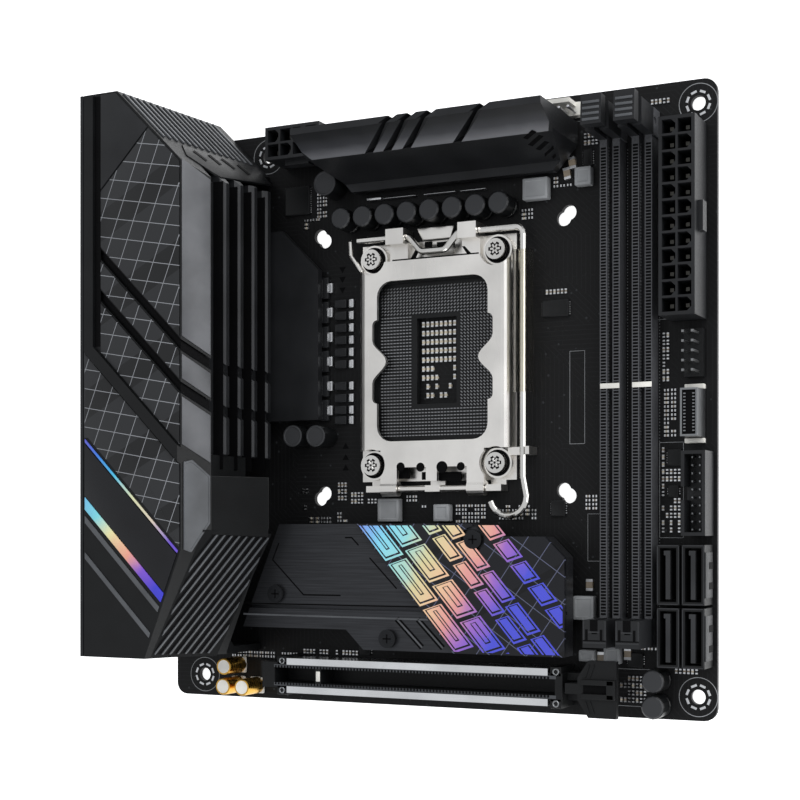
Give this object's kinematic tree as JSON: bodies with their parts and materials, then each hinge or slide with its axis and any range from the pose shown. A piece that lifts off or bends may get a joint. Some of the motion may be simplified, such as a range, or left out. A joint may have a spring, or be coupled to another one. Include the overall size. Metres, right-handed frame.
{
  "type": "computer motherboard",
  "caption": "Small square computer motherboard with a clamped processor socket, latched memory and expansion slots, heatsinks, power plugs and a tall cover over the rear ports.",
  "frame": {"origin": "bottom centre of the box around the assembly, which lies flat on its solder tails and back plate", "axes": "+Z out of the component side, +X to the front edge with the memory slots, -X to the rear edge with the ports, +Y to the edge with the processor power plug"},
  "size_m": [0.1742, 0.1748, 0.05],
  "materials": {
    "board_lacquer": "black solder mask on glass fibre board",
    "black_plastic": "moulded, satin",
    "grey_plastic": "moulded, satin",
    "white_plastic": "moulded, satin",
    "clear_plastic": "clear shrunk sleeve",
    "nickel_steel": "nickel plated, satin",
    "bright_steel": "bright plated",
    "dark_steel": "black oxide",
    "black_anodised": "black anodised",
    "brushed_grey": "dark anodised, brushed along its length",
    "gold_plate": "gold plated",
    "capacitor_black": "lacquered aluminium can",
    "printed_sheet": "printed sheet with a rainbow sheen",
    "silicon_package": "moulded chip package"
  },
  "bodies": {
    "board": {"pcb": "board_lacquer", "cpu_backplate": "dark_steel", "m2_screw_1": "dark_steel", "m2_screw_2": "dark_steel", "m2_screw_3": "dark_steel", "socket_housing": "black_plastic", "pcie_slot_body": "black_plastic", "front_panel_header": "black_plastic", "audio_jacks": "black_plastic", "reset_switch": "black_plastic", "io_cover": "black_plastic", "m2_socket": "black_plastic", "clamp_frame": "nickel_steel", "clamp_screw_1": "bright_steel", "clamp_screw_2": "bright_steel", "clamp_screw_3": "bright_steel", "clamp_screw_4": "bright_steel", "pcie_rail_north": "bright_steel", "pcie_rail_south": "bright_steel", "usb_c_header": "bright_steel", "lan_usb_stack": "bright_steel", "usb_stack_1": "bright_steel", "usb_stack_2": "bright_steel", "display_stack": "bright_steel", "dimm_slot_a": "grey_plastic", "dimm_slot_b": "grey_plastic", "atx_power_housing": "grey_plastic", "cpu_power_housing": "grey_plastic", "sata_port_1": "grey_plastic", "sata_port_2": "grey_plastic", "sata_port_3": "grey_plastic", "sata_port_4": "grey_plastic", "usb3_header": "grey_plastic", "atx_power_pins": "gold_plate", "cpu_power_pins": "gold_plate", "wifi_module": "gold_plate", "fan_header": "white_plastic", "capacitor_row_1": "capacitor_black", "capacitor_row_2": "capacitor_black", "capacitor_row_3": "capacitor_black", "capacitor_row_4": "capacitor_black", "capacitor_row_5": "capacitor_black", "capacitor_row_6": "capacitor_black", "capacitor_row_7": "capacitor_black", "capacitor_row_8": "capacitor_black", "capacitor_front_1": "capacitor_black", "capacitor_front_2": "capacitor_black", "io_shield_plate": "black_anodised", "vrm_heatsink_rear": "black_anodised", "vrm_heatsink_north": "black_anodised", "m2_heatsink": "brushed_grey", "m2_cover": "printed_sheet", "chipset": "silicon_package"},
    "load_plate": {"load_plate": "nickel_steel"},
    "load_lever": {"load_lever": "bright_steel", "lever_sleeve": "clear_plastic"},
    "dimm_latch_a": {"dimm_latch_a": "grey_plastic"},
    "dimm_latch_b": {"dimm_latch_b": "grey_plastic"},
    "pcie_latch": {"pcie_latch": "black_plastic"},
    "reset_button": {"reset_button": "black_plastic"}
  },
  "joints": [
    {"name": "load_lever_hinge", "type": "hinge", "parent": "board", "child": "load_lever", "pos_m": [0.0069, 0.0472, 0.0086], "axis": [-1, 0, 0], "range_deg": [0, 110]},
    {"name": "load_plate_hinge", "type": "hinge", "parent": "board", "child": "load_plate", "pos_m": [0.0069, -0.0249, 0.0084], "axis": [1, 0, 0], "range_deg": [0, 100]},
    {"name": "dimm_latch_a_hinge", "type": "hinge", "parent": "board", "child": "dimm_latch_a", "pos_m": [0.0595, 0.07154, 0.0084], "axis": [-1, 0, 0], "range_deg": [0, 30]},
    {"name": "dimm_latch_b_hinge", "type": "hinge", "parent": "board", "child": "dimm_latch_b", "pos_m": [0.0684, 0.07154, 0.0084], "axis": [-1, 0, 0], "range_deg": [0, 30]},
    {"name": "pcie_latch_hinge", "type": "hinge", "parent": "board", "child": "pcie_latch", "pos_m": [0.05059, -0.07913, 0.008], "axis": [0, 1, 0], "range_deg": [0, 15]},
    {"name": "reset_button_slide", "type": "slide", "parent": "board", "child": "reset_button", "axis": [1, 0, 0], "range_m": [0, 0.001], "stiffness_N_per_m": 300, "springref_m": -0.001}
  ]
}
